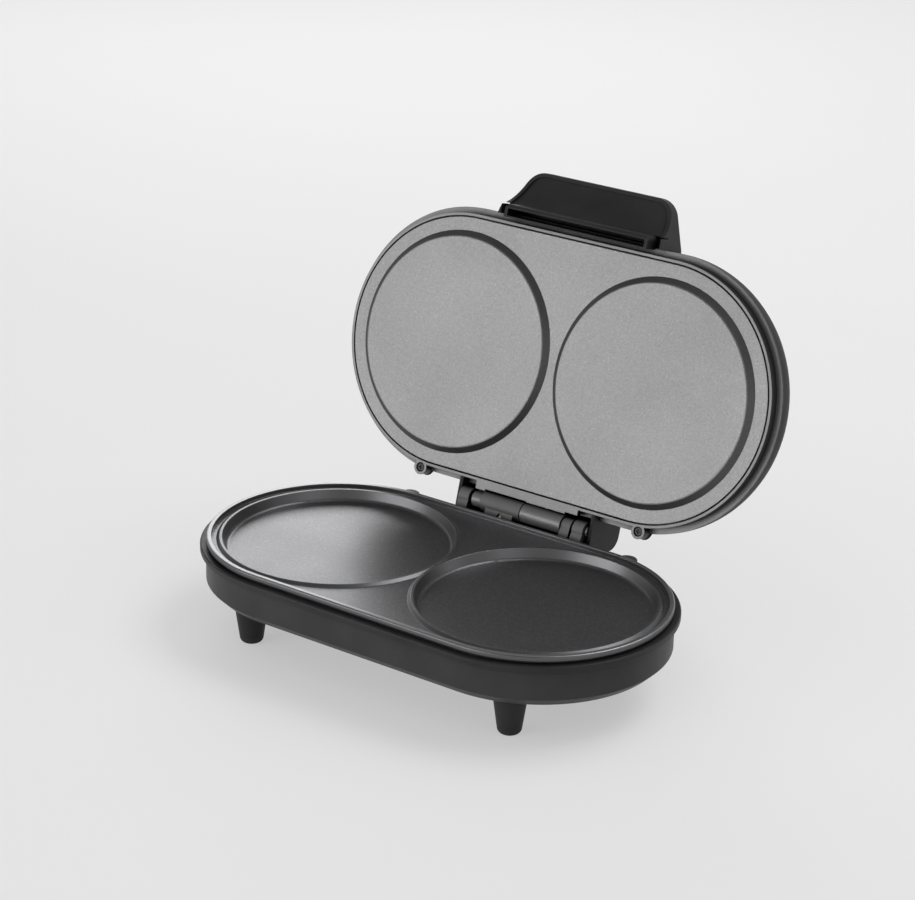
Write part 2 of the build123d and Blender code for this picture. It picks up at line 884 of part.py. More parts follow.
# Mains inlet: a bushing through the tub's rear wall
with BuildPart() as cord_gland:
    with BuildSketch(inlet):
        Circle(gland_flange_r)
    extrude(amount=gland_out)
    fillet(cord_gland.faces().sort_by(Axis.Y)[-1].edges(), gland_round)
    with BuildSketch(inlet):
        Circle(gland_r)
    extrude(amount=-tub_wall - gland_in)
    with BuildSketch(inlet.offset(-tub_wall)):
        Circle(gland_r + gland_lock)
    extrude(amount=-gland_in)
    with BuildSketch(inlet.offset(gland_out)):
        Circle(gland_bore_r)
    extrude(amount=-gland_out - tub_wall - gland_in, mode=Mode.SUBTRACT)
cord_gland.part.label = "cord_gland"
export_step(cord_gland.part, "parts/cord_gland.step")

# Lid frame: rim, ledge, flange, ears, strip, knuckle and the lid's barrel half
strip_corners = (
    -strip_half,
    -knuckle_start - strip_clear,
    barrel_split,
    barrel_end - strip_inset,
    strip_half,
)
strip_rises = (3, 1, 2, 0)
lid_wire_turn = in_lid(channel_x, hinge_y - lid_wire_bend, lid_wire_rise)
lid_wire_inside = in_lid(channel_x, hinge_y - lid_wire_reach, lid_wire_depth)
lid_channel = tube(
    [in_lid(channel_x, hinge_y, hinge_rise), lid_wire_turn, lid_wire_inside], [wire_bend_r], channel_r
)


def lid_web(radius):
    """Outline in the lid's y and depth of a wall from the rim to the hinge."""
    with BuildSketch() as outline:
        with BuildLine():
            Polyline(
                (rim_r - rim_wall / 2, lid_web_low),
                (rim_r + strip_reach, lid_web_low),
                (hinge_y - radius, hinge_rise + join),
                (hinge_y, hinge_rise),
                (hinge_y + radius * cos(radians(45)), hinge_rise + radius * sin(radians(45))),
                (hinge_y - lid_web_back, lid_web_high),
                (rim_r - rim_wall / 2, lid_web_high),
                close=True,
            )
        make_face()
        with Locations((hinge_y, hinge_rise)):
            Circle(radius)
    return outline.sketch


lid_barrel_web = lid_web(barrel_r)
lid_knuckle_web = lid_web(knuckle_r)

with BuildPart() as lid_frame:
    with BuildSketch(lid):
        SlotCenterToCenter(well_spacing, 2 * rim_r)
        SlotCenterToCenter(well_spacing, 2 * rim_inner_r, mode=Mode.SUBTRACT)
    extrude(amount=rim_depth)
    with BuildSketch(lid.offset(lid_skirt)):
        SlotCenterToCenter(well_spacing, 2 * (rim_r - rim_wall / 2))
        SlotCenterToCenter(well_spacing, 2 * (rim_inner_r - ledge_width), mode=Mode.SUBTRACT)
    extrude(amount=lid_ledge)
    with BuildSketch(lid.offset(lid_skirt)):
        with GridLocations(well_spacing, 2 * (tab_y + 1), 2, 2):
            Rectangle(tab_length, tab_width)
    extrude(amount=lid_ledge)
    with BuildSketch(lid.offset(cover_mouth - rim_flange)):
        SlotCenterToCenter(well_spacing, 2 * cover_r)
        SlotCenterToCenter(well_spacing, 2 * (rim_r - rim_wall / 2), mode=Mode.SUBTRACT)
    extrude(amount=rim_flange)
    with BuildSketch(lid.offset(cover_mouth - rim_flange / 2)):
        SlotCenterToCenter(well_spacing, 2 * (cover_inner_r - spigot_gap))
        SlotCenterToCenter(well_spacing, 2 * (rim_r - rim_wall / 2), mode=Mode.SUBTRACT)
    extrude(amount=rim_depth - cover_mouth + rim_flange / 2)
    with BuildSketch(lid):
        for side in both_sides:
            with Locations((side * (hood_inner + hood_wall / 2), hood_y)):
                Rectangle(hood_wall + 2 * fit_gap, 2 * (hood_y - rim_r - fit_gap))
    extrude(amount=cover_mouth, mode=Mode.SUBTRACT)
    with BuildSketch(lid):
        with Locations(*ear_places):
            Circle(ear_r)
            with Locations((0, -ear_r)):
                Rectangle(ear_neck, 2 * ear_r)
        SlotCenterToCenter(well_spacing, 2 * (rim_r - rim_wall / 2), mode=Mode.SUBTRACT)
    extrude(amount=cover_mouth)
    with BuildSketch(lid.offset(cover_mouth)):
        with Locations(*ear_places):
            Circle(ear_post_r + fit_gap)
    extrude(amount=rim_depth - cover_mouth, mode=Mode.SUBTRACT)
    with BuildSketch(lid):
        for start, end, rise in zip(strip_corners, strip_corners[1:], strip_rises):
            reach = strip_reach + rise * strip_step
            with Locations(((start + end) / 2, rim_r + reach / 2 - rim_wall / 2)):
                Rectangle(end - start, reach + rim_wall)
    extrude(amount=strip_depth)
    with BuildSketch(lid_side(lid_web_inset)):
        add(lid_barrel_web)
    extrude(amount=barrel_end - 2 * lid_web_inset)
    with BuildSketch(lid_side(barrel_split)):
        with Locations((hinge_y, hinge_rise)):
            Circle(barrel_r)
    extrude(amount=barrel_end - barrel_split)
    with BuildSketch(lid_side(-knuckle_end)):
        add(lid_knuckle_web)
    extrude(amount=knuckle_end - knuckle_start)
    with BuildSketch(lid_side(-knuckle_end)):
        with Locations((hinge_y, hinge_rise)):
            Circle(pin_r + pin_running)
    extrude(amount=knuckle_end + barrel_end, mode=Mode.SUBTRACT)
    with BuildSketch(lid_side(barrel_split)):
        with Locations((hinge_y, hinge_rise)):
            Circle(barrel_bore)
    extrude(amount=barrel_end - barrel_wall - barrel_split, mode=Mode.SUBTRACT)
    with BuildSketch(lid):
        with Locations(*ear_places):
            Circle(ear_recess_r)
    extrude(amount=ear_recess, mode=Mode.SUBTRACT)
    with BuildSketch(lid):
        with Locations(*ear_places):
            Circle(screw_hole_r)
    extrude(amount=cover_mouth, mode=Mode.SUBTRACT)
    with BuildSketch(lid.offset(lid_skirt)):
        with GridLocations(well_spacing, 2 * tab_y, 2, 2):
            Circle(screw_hole_r)
    extrude(amount=lid_ledge, mode=Mode.SUBTRACT)
    add(lid_channel, mode=Mode.SUBTRACT)
lid_frame.part.label = "lid_frame"
export_step(lid_frame.part, "parts/lid_frame.step")

# Lid plate: flat face with two raised discs, rail and posts behind
with BuildPart() as lid_plate:
    with BuildSketch(lid):
        SlotCenterToCenter(well_spacing, 2 * lid_plate_r)
    extrude(amount=lid_plate_wall)
    with Locations(lid.offset(-disc_rise)):
        with Locations(*well_places):
            Cone(
                disc_top_r,
                disc_foot_r,
                disc_rise,
                align=(Align.CENTER, Align.CENTER, Align.MIN),
            )
    fillet(lid_plate.faces().group_by(away)[0].edges(), disc_round)
    with Locations(lid.offset(-disc_rise + lid_plate_wall)):
        with Locations(*well_places):
            Cone(
                disc_top_r - disc_round,
                disc_foot_r - disc_round,
                disc_rise,
                align=(Align.CENTER, Align.CENTER, Align.MIN),
                mode=Mode.SUBTRACT,
            )
    with BuildSketch(lid):
        SlotCenterToCenter(well_spacing, 2 * lid_plate_r)
        SlotCenterToCenter(well_spacing, 2 * (lid_plate_r - lid_plate_wall), mode=Mode.SUBTRACT)
    extrude(amount=lid_skirt)
    with BuildSketch(lid.offset(lid_plate_wall / 2)):
        SlotCenterToCenter(well_spacing, 2 * element_loop_r + rail_width)
        SlotCenterToCenter(well_spacing, 2 * element_loop_r - rail_width, mode=Mode.SUBTRACT)
    extrude(amount=lid_rail - lid_plate_wall / 2)
    for x, y in well_places:
        with BuildSketch(lid.offset(lid_plate_wall / 2)):
            SlotCenterToCenter(well_spacing, 2 * element_loop_r + rail_width)
            SlotCenterToCenter(
                well_spacing, 2 * element_loop_r - rail_width, mode=Mode.SUBTRACT
            )
            with Locations((x, y)):
                Circle(disc_top_r - disc_round, mode=Mode.INTERSECT)
        extrude(amount=-disc_rise + lid_plate_wall / 2 - rail_sink)
    with BuildSketch(lid.offset(lid_shield)):
        with GridLocations(well_spacing, post_pitch_y, 2, 2):
            Circle(post_r)
    extrude(amount=-lid_shield - disc_rise + lid_plate_wall - post_sink)
    with BuildSketch(lid.offset(lid_skirt)):
        with GridLocations(well_spacing, 2 * tab_y, 2, 2):
            Circle(tab_post_r)
    extrude(amount=-lid_skirt + join)
    with BuildSketch(lid.offset(lid_shield)):
        with GridLocations(well_spacing, post_pitch_y, 2, 2):
            Circle(screw_r + thread_gap)
    extrude(amount=-blind_depth, mode=Mode.SUBTRACT)
    with BuildSketch(lid.offset(lid_skirt)):
        with GridLocations(well_spacing, 2 * tab_y, 2, 2):
            Circle(screw_r + thread_gap)
    extrude(amount=-tab_thread - thread_end, mode=Mode.SUBTRACT)
    add(
        tube(
            element_corners(lid.offset(lid_rail), 1), element_bends, element_r + element_gap
        ),
        mode=Mode.SUBTRACT,
    )
lid_plate.part.label = "lid_plate"
export_step(lid_plate.part, "parts/lid_plate.step")

# Lid element, shield and screws
with BuildPart() as lid_heater:
    add(heater(lid.offset(lid_rail), 1))
lid_heater.part.label = "lid_heater"
export_step(lid_heater.part, "parts/lid_heater.step")

with BuildPart() as lid_heat_shield:
    add(heat_shield(lid.offset(lid_shield), 1))
lid_heat_shield.part.label = "lid_heat_shield"
export_step(lid_heat_shield.part, "parts/lid_heat_shield.step")

with BuildPart() as lid_shield_screws:
    shield_screw = screw(shield_wall + blind_depth - blind_gap)
    with Locations(lid.offset(lid_shield + shield_wall)):
        with GridLocations(well_spacing, post_pitch_y, 2, 2):
            add(shield_screw)
lid_shield_screws.part.label = "lid_shield_screws"
export_step(lid_shield_screws.part, "parts/lid_shield_screws.step")

with BuildPart() as lid_plate_screws:
    tab_screw = screw(lid_ledge + tab_thread)
    with Locations(lid.offset(lid_skirt + lid_ledge)):
        with GridLocations(well_spacing, 2 * tab_y, 2, 2):
            add(tab_screw)
lid_plate_screws.part.label = "lid_plate_screws"
export_step(lid_plate_screws.part, "parts/lid_plate_screws.step")

# Lid cover: the domed top shell, the hood behind it and the posts inside
handle_seat = Plane(
    origin=in_lid(0, handle_boss - cover_r, handle_screw_depth),
    x_dir=(1, 0, 0),
    z_dir=lid.y_dir,
)


def dome(radius, low, top, bend):
    """A solid on the lid with the cover's outline and a rounded edge at its top."""
    with BuildPart() as body:
        with BuildSketch(lid.offset(low)):
            SlotCenterToCenter(well_spacing, 2 * radius)
        extrude(amount=top - low)
        fillet(body.faces().sort_by(away)[-1].edges(), bend)
    return body.part


def hood_outline(inset, low):
    """Outline of the hood in the lid's y and depth, with an inset at its back and top."""
    back = hood_y - inset
    top = cover_top - inset
    with BuildSketch() as outline:
        with BuildLine():
            Polyline(
                (hood_y - hood_round, top),
                (cover_r - cover_round, top),
                (cover_r - cover_round, cover_mouth),
                (rim_r + hood_gap, cover_mouth),
                (rim_r + hood_gap, low),
                (back, low),
                (back, cover_top - hood_round),
            )
            CenterArc((hood_y - hood_round, cover_top - hood_round), hood_round - inset, 0, 90)
        make_face()
    return outline.sketch


cover_outside = dome(cover_r, cover_mouth, cover_top, cover_round)

with BuildPart() as hood_space:
    with BuildSketch(lid_side(-hood_inner)):
        add(hood_outline(hood_wall, -join))
    extrude(amount=2 * hood_inner)
    add(cover_outside, mode=Mode.SUBTRACT)

with BuildPart() as handle_bosses:
    with Locations(handle_seat):
        with Locations((-handle_screw_x, 0), (handle_screw_x, 0)):
            Cylinder(handle_boss_r, handle_boss, align=(Align.CENTER, Align.CENTER, Align.MAX))
    add(cover_outside, mode=Mode.INTERSECT)

with BuildPart() as lid_cover:
    add(cover_outside)
    with BuildSketch(lid_side(-hood_outer)):
        add(hood_outline(0, 0))
    extrude(amount=2 * hood_outer)
    add(hood_space.part, mode=Mode.SUBTRACT)
    for x, y in ear_places:
        with BuildSketch(lid.offset(cover_mouth)):
            with Locations((x, y)):
                Circle(ear_r + join)
        with BuildSketch(lid.offset(cover_mouth + ear_flare)):
            with Locations((x, y - ear_flare_shift)):
                Circle(ear_flare_end_r)
        loft()
    add(
        dome(cover_inner_r, cover_mouth, cover_top - cover_wall, cover_round - cover_wall),
        mode=Mode.SUBTRACT,
    )
    add(handle_bosses.part)
    with BuildSketch(lid.offset(rim_depth)):
        SlotCenterToCenter(well_spacing, 2 * (cover_inner_r + cover_wall / 2))
        SlotCenterToCenter(
            well_spacing, 2 * (cover_inner_r + cover_wall / 2 - cover_ledge_width), mode=Mode.SUBTRACT
        )
    extrude(amount=cover_ledge)
    with BuildSketch(lid.offset(cover_mouth)):
        with Locations(*ear_places):
            Circle(ear_post_r)
    extrude(amount=ear_post)
    with BuildSketch(lid.offset(cover_mouth)):
        with Locations(*ear_places):
            Circle(screw_r + thread_gap)
    extrude(amount=ear_post, mode=Mode.SUBTRACT)
    with BuildSketch(lid.offset(cover_top)):
        with Locations((-lens_x, lens_y), (lens_x, lens_y)):
            Circle(lens_r)
    extrude(amount=-cover_wall, mode=Mode.SUBTRACT)
    with BuildSketch(lid.offset(board_top)):
        with Locations((-board_post_x, lens_y), (board_post_x, lens_y)):
            Circle(board_post_r)
    extrude(amount=cover_top - cover_wall - board_top)
    with BuildSketch(lid.offset(board_top)):
        with Locations((-board_post_x, lens_y), (board_post_x, lens_y)):
            Circle(screw_r + thread_gap)
    extrude(amount=blind_depth, mode=Mode.SUBTRACT)
    with BuildSketch(handle_seat):
        with Locations((-handle_screw_x, 0), (handle_screw_x, 0)):
            Circle(screw_hole_r)
    extrude(amount=-handle_boss, mode=Mode.SUBTRACT)
    add(lid_channel, mode=Mode.SUBTRACT)
lid_cover.part.label = "lid_cover"
export_step(lid_cover.part, "parts/lid_cover.step")

with BuildPart() as lid_ear_screws:
    lid_ear_screw = screw(cover_mouth - ear_recess + ear_post - blind_gap, cross=True)
    with Locations(lid_back.offset(-ear_recess)):
        with Locations((-ear_x, -ear_y), (ear_x, -ear_y)):
            add(lid_ear_screw)
lid_ear_screws.part.label = "lid_ear_screws"
export_step(lid_ear_screws.part, "parts/lid_ear_screws.step")

# Indicator windows, lamps and their board
for name, x in (("power_lens", -lens_x), ("ready_lens", lens_x)):
    with BuildPart() as lens:
        with BuildSketch(lid.offset(cover_top - cover_wall)):
            with Locations((x, lens_y)):
                Circle(lens_r + lens_flange)
        extrude(amount=-lens_wall)
        with BuildSketch(lid.offset(cover_top - cover_wall)):
            with Locations((x, lens_y)):
                Circle(lens_r - lens_gap)
        extrude(amount=cover_wall + lens_rise)
        fillet(lens.faces().sort_by(away)[-1].edges(), lens_round)
    lens.part.label = name
    export_step(lens.part, f"parts/{name}.step")

with BuildPart() as lamp_board:
    with BuildSketch(lid.offset(board_depth)):
        with Locations((0, lens_y)):
            RectangleRounded(2 * (board_post_x + board_edge), board_width, board_round)
        with Locations((-board_post_x, lens_y), (board_post_x, lens_y)):
            Circle(screw_hole_r, mode=Mode.SUBTRACT)
    extrude(amount=board_wall)
lamp_board.part.label = "lamp_board"
export_step(lamp_board.part, "parts/lamp_board.step")

with BuildPart() as indicator_lamps:
    with BuildSketch(lid.offset(board_top)):
        with Locations((-lens_x, lens_y), (lens_x, lens_y)):
            Circle(lamp_r)
    extrude(amount=lamp_length)
    fillet(indicator_lamps.faces().group_by(away)[-1].edges(), lamp_round)
indicator_lamps.part.label = "indicator_lamps"
export_step(indicator_lamps.part, "parts/indicator_lamps.step")

with BuildPart() as board_screws:
    board_screw = screw(board_wall + blind_depth - blind_gap)
    with Locations(lid_back.offset(-board_depth)):
        with Locations((-board_post_x, -lens_y), (board_post_x, -lens_y)):
            add(board_screw)
board_screws.part.label = "board_screws"
export_step(board_screws.part, "parts/board_screws.step")

# Handle: a slotted block on the lid's front, with a scooped grip behind it
block_back = rim_r + handle_back
block_front = cover_r + handle_front
block_join = cover_r + handle_gap
tip_y = cover_r + handle_reach
scoop_y = cover_r + scoop_behind


def flare(inset):
    """The grip's outline seen from above, made smaller by an inset at its sides and tip."""
    with BuildSketch() as outline:
        with BuildLine():
            Polyline(
                (-handle_root + inset, handle_corner - cover_r),
                (-handle_root + inset, -cover_r),
                (-handle_tip + inset, -tip_y + inset),
                (handle_tip - inset, -tip_y + inset),
                (handle_root - inset, -cover_r),
                (handle_root - inset, handle_corner - cover_r),
                close=True,
            )
        make_face()
        fillet(outline.vertices().group_by(Axis.Y)[0], handle_corner - inset)
    return outline.sketch


def scoop(step):
    """A round bar with an oval outline, lying along the underside of the grip."""
    with BuildPart() as bar:
        with BuildSketch(lid_side(-handle_root)):
            with Locations((-scoop_y, -handle_drop)):
                Ellipse(scoop_reach + step, scoop_rise + step)
        extrude(amount=2 * handle_root)
    return bar.part


with BuildPart() as under_grip:
    with BuildSketch(lid.offset(-handle_drop)):
        add(flare(handle_wall))
    extrude(amount=handle_drop + handle_top)
    add(scoop(scoop_step), mode=Mode.INTERSECT)

with BuildPart() as grip_block:
    with BuildSketch(lid_side(-handle_block)) as block_side_view:
        with BuildLine():
            Polyline(
                (-block_back, -handle_drop),
                (-block_back, cover_mouth - rim_flange - fit_gap),
                (-block_join, cover_mouth - rim_flange - fit_gap),
                (-block_join, end_recess + join),
                (-block_front, end_recess + join),
                (-block_front, -handle_drop),
                close=True,
            )
        make_face()
        lip_corner = block_side_view.vertices().group_by(Axis.Y)[0].sort_by(Axis.X)[0]
        fillet(lip_corner, block_round)
    extrude(amount=2 * handle_block)
    with BuildSketch(lid.offset(-handle_drop)) as block_plan:
        with Locations((0, -(block_back + block_front) / 2)):
            Rectangle(2 * handle_block, block_front - block_back)
        fillet(block_plan.vertices().group_by(Axis.Y)[0], block_corner)
    extrude(amount=handle_drop + end_recess + join, mode=Mode.INTERSECT)

with BuildPart() as lid_handle:
    with BuildSketch(lid.offset(handle_foot)):
        add(flare(0))
    extrude(amount=handle_top - handle_foot)
    fillet(lid_handle.faces().sort_by(away)[-1].edges(), handle_round)
    add(scoop(0), mode=Mode.SUBTRACT)
    add(under_grip.part, mode=Mode.SUBTRACT)
    with BuildSketch(lid):
        with Locations((0, -cover_r)):
            Rectangle(2 * (handle_root - handle_wall), 2 * handle_front)
    extrude(amount=end_recess, mode=Mode.SUBTRACT)
    add(
        dome(block_join, -handle_drop - join, cover_top + handle_gap, cover_round),
        mode=Mode.SUBTRACT,
    )
    add(grip_block.part)
    with BuildSketch(lid_side(-slot_half)):
        with BuildLine():
            Polyline(
                (-block_back - slot_start, -handle_drop - join),
                (-block_back - slot_start, slot_floor),
                (-block_back - slot_start - slot_step, slot_floor),
                (-block_back - slot_start - slot_step, slot_deep),
                (-block_back - slot_start - slot_width, slot_deep),
                (-block_back - slot_start - slot_width, -handle_drop - join),
                close=True,
            )
        make_face()
    extrude(amount=2 * slot_half, mode=Mode.SUBTRACT)
    with BuildSketch(handle_seat):
        with Locations((-handle_screw_x, 0), (handle_screw_x, 0)):
            Circle(screw_r + thread_gap)
    extrude(amount=-handle_screw_length - thread_end, mode=Mode.SUBTRACT)
lid_handle.part.label = "lid_handle"
export_step(lid_handle.part, "parts/lid_handle.step")

with BuildPart() as handle_screws:
    handle_screw = screw(handle_screw_length)
    with Locations(handle_seat):
        with Locations((-handle_screw_x, 0), (handle_screw_x, 0)):
            add(handle_screw)
handle_screws.part.label = "handle_screws"
export_step(handle_screws.part, "parts/handle_screws.step")

# Wires of the base: the sleeve from the hinge, and leads to the element and the cut-outs
block_z = tub_floor + block_foot + sleeve_r + 0.8
block_side = block_x - block_length / 2 - wire_gap
block_front_y = block_y - block_width / 2 - wire_gap
wire_z = column_top - 7.0
blade_z = pad_z - thermostat_height - blade_length * 0.6
blade_side = blade_x + blade_wall / 2 + wire_gap
pin_side = cold_pin_r + wire_gap
fuse_side = fuse_end + wire_gap
base_routes = (
    (
        [
            (block_side, block_y - 4.5, block_z),
            (block_side - 7, block_y - 6, block_z),
            (cold_x + 9, element_loop_r, wire_z),
            (cold_x + pin_side, element_loop_r, wire_z),
        ],
        [5, 5],
    ),
    (
        [
            (block_x + 4, block_front_y, block_z),
            (block_x + 4, block_front_y - 8, block_z),
            (block_x - 6, 20, wire_z),
            (22, thermostat_y + 2, wire_z + 1),
            (13, thermostat_y, blade_z),
            (blade_side, thermostat_y, blade_z),
        ],
        [6, 14, 8, 6],
    ),
    (
        [
            (-blade_side, thermostat_y, blade_z),
            (-11, thermostat_y, blade_z),
            (-fuse_side - 5, 3, fuse_z - 3),
            (-fuse_side - 5, fuse_y, fuse_z),
            (-fuse_side, fuse_y, fuse_z),
        ],
        [4, 6, 3],
    ),
    (
        [
            (fuse_side, fuse_y, fuse_z),
            (fuse_side + 5, fuse_y, fuse_z),
            (fuse_side + 3, fuse_y + 10, column_top - 1),
            (2, 40, wire_z + 0.5),
            (-cold_x, element_loop_r - 10, wire_z),
            (-cold_x, element_loop_r - pin_side, wire_z),
        ],
        [3, 6, 8, 6],
    ),
)
with BuildPart() as base_wires:
    add(
        tube(
            [
                (-barrel_split - 0.15, hinge_y, hinge_z),
                (-channel_x, hinge_y, hinge_z),
                base_wire_turn,
                base_wire_drop,
                (-6, block_y + 6, block_z - 2),
                (block_side, block_y, block_z),
            ],
            [4.5, 14, 8, 14],
            sleeve_r,
        )
    )
    for points, bends in base_routes:
        add(tube(points, bends, wire_r))
base_wires.part.label = "base_wires"
export_step(base_wires.part, "parts/base_wires.step")

# Wires of the lid: the sleeve from the hinge to the element, and leads to the lamps
lead_depth = lid_rail + cold_reach + cold_pin / 2
board_side = lens_y + board_width / 2 + wire_gap
board_middle = board_depth + board_wall / 2
with BuildPart() as lid_wires:
    add(
        tube(
            [
                in_lid(barrel_split + 0.15, hinge_y, hinge_rise),
                in_lid(channel_x, hinge_y, hinge_rise),
                lid_wire_turn,
                lid_wire_inside,
                in_lid(cold_x, element_loop_r + pin_side + 0.3, lead_depth),
            ],
            [4.5, 14, 20],
            sleeve_r,
        )
    )
    for side in both_sides:
        add(
            tube(
                [
                    in_lid(side * cold_x, element_loop_r - pin_side, lead_depth),
                    in_lid(side * (cold_x + 2), 20, lid_shield + 4),
                    in_lid(side * (cold_x - 3), -34, lid_shield + 5),
                    in_lid(side * (cold_x - 4), board_side + 9, board_middle),
                    in_lid(side * (cold_x - 4), board_side, board_middle),
                ],
                [40, 10, 7],
                wire_r,
            )
        )
lid_wires.part.label = "lid_wires"
export_step(lid_wires.part, "parts/lid_wires.step")
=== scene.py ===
import json
from math import cos, radians, sin

import bpy
from mathutils import Matrix, Vector

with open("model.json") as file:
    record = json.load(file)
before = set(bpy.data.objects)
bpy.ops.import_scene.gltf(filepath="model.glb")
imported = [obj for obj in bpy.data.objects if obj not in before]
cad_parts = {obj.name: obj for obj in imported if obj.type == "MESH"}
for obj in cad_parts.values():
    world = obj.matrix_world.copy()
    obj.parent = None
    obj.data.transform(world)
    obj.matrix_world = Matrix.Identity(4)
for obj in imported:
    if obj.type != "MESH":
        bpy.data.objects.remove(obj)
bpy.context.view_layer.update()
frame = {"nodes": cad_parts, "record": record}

# The looks of a double pancake maker that stands open on a pale floor.
# Everything is in metres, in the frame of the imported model: +X right, +Y to the hinge, +Z up.

# The photograph's camera
photo_width = 915
focal_pixels = 2773.17
sensor_width = 36.0
camera_place = Vector((1.14220, -1.55774, 0.94232))
camera_azimuth = radians(35.80)
camera_elevation = radians(21.83)
camera_roll = radians(1.216)
clip_near, clip_far = 0.05, 60.0

# The studio's tones, where 1 is white: its backdrop, and its ceiling as gloss shows it
backdrop = 0.87
ceiling = 0.21

# The slopes, as sines, at which a look upward leaves the backdrop and reaches the ceiling
ceiling_starts, ceiling_full = 0.05, 0.60

# The light that falls on the appliance from all round
light_all_round = 0.40

# Half the floor's side, the backdrop's share in the tone that shows near the appliance,
# and the distances from the middle between which that share grows to the whole
floor_half = 14.0
near_share = 0.5
fade_starts, fade_full = 0.9, 3.5

# What the lamps point at: the middle of the open appliance
aim = Vector((0.0, 0.06, 0.12))

# The lamps: name, place, width and height, watts
lamps = (
    ("key", (-0.82, -1.66, 0.40), (1.7, 0.8), 15.0),
    ("top", (0.75, 0.95, 2.0), (1.6, 1.2), 22.0),
    ("rear_left", (-1.45, 1.75, 1.0), (1.5, 0.9), 14.0),
    ("rear_right", (1.9, 1.3, 0.8), (0.7, 1.0), 3.0),
    ("fill", (1.9, -0.9, 0.9), (1.0, 1.0), 2.5),
)

# The way the cooking faces look, with the lid open as in the model's rest
lid_face = (0.0, -0.96126, 0.27564)
base_face = (0.0, 0.0, 1.0)

# The height of the collar's top edge, over which the hinge rises
collar_top = 0.0695

# The height at which the painted sheen on the top of the base plate's lip begins
lip_shoulder = 0.0745

# The height over which a tone that begins at such an edge comes in
edge_blur = 0.0003

# The rays that a look for edges or gaps sends out from each point
edge_rays = 6


def make_camera():
    """A camera with the photograph's place, direction, roll and focal length."""
    back = Vector(
        (
            sin(camera_azimuth) * cos(camera_elevation),
            -cos(camera_azimuth) * cos(camera_elevation),
            sin(camera_elevation),
        )
    )
    level = Vector((0, 0, 1)).cross(back).normalized()
    upright = back.cross(level)
    right = level * cos(camera_roll) + upright * sin(camera_roll)
    up = upright * cos(camera_roll) - level * sin(camera_roll)
    data = bpy.data.cameras.new("camera")
    data.sensor_width = sensor_width
    data.lens = focal_pixels * sensor_width / photo_width
    data.clip_start, data.clip_end = clip_near, clip_far
    camera = bpy.data.objects.new("camera", data)
    turn = Matrix((right, up, back)).transposed().to_4x4()
    camera.matrix_world = Matrix.Translation(camera_place) @ turn
    bpy.context.scene.collection.objects.link(camera)
    bpy.context.scene.camera = camera


def make_lamp(name, place, size, power):
    """A soft rectangular lamp that points at the appliance."""
    data = bpy.data.lights.new(name, "AREA")
    data.shape = "RECTANGLE"
    data.size, data.size_y = size
    data.energy = power
    lamp = bpy.data.objects.new(name, data)
    lamp.location = place
    lamp.rotation_euler = (Vector(place) - aim).to_track_quat("Z", "Y").to_euler()
    bpy.context.scene.collection.objects.link(lamp)


def scaled(color, factor):
    """The same hue, darker or lighter."""
    return tuple(factor * part for part in color)


class Nodes:
    """The node tree of a material or of the world."""

    def __init__(self, tree):
        self.tree = tree

    def add(self, kind, **settings):
        """A node of that kind with the given properties."""
        node = self.tree.nodes.new(kind)
        for name, value in settings.items():
            setattr(node, name, value)
        return node

    def join(self, value, socket):
        """Links an output to a socket, or writes a plain value on it."""
        if isinstance(value, bpy.types.NodeSocket):
            self.tree.links.new(value, socket)
        else:
            socket.default_value = value

    def math(self, operation, first, second):
        """One step of arithmetic on two numbers."""
        node = self.add("ShaderNodeMath", operation=operation)
        self.join(first, node.inputs[0])
        self.join(second, node.inputs[1])
        return node.outputs["Value"]

    def fit(self, value, low, high, to_low=0.0, to_high=1.0):
        """The value's stretch from low to high, laid over to_low to to_high and held there."""
        node = self.add("ShaderNodeMapRange")
        self.join(value, node.inputs["Value"])
        ends = {"From Min": low, "From Max": high, "To Min": to_low, "To Max": to_high}
        for socket, number in ends.items():
            node.inputs[socket].default_value = number
        return node.outputs["Result"]

    def height(self, vector):
        """A vector's third number."""
        node = self.add("ShaderNodeSeparateXYZ")
        self.join(vector, node.inputs["Vector"])
        return node.outputs["Z"]

    def mix(self, share, first, second):
        """A number between two others."""
        node = self.add("ShaderNodeMix")
        for value, socket in ((share, "Factor"), (first, "A"), (second, "B")):
            self.join(value, node.inputs[socket])
        return node.outputs["Result"]

    def looks(self):
        """1 for the camera's own look, and 1 for a look by way of gloss or glass."""
        rays = self.add("ShaderNodeLightPath").outputs
        mirrored = self.math("MAXIMUM", rays["Is Glossy Ray"], rays["Is Transmission Ray"])
        return rays["Is Camera Ray"], mirrored


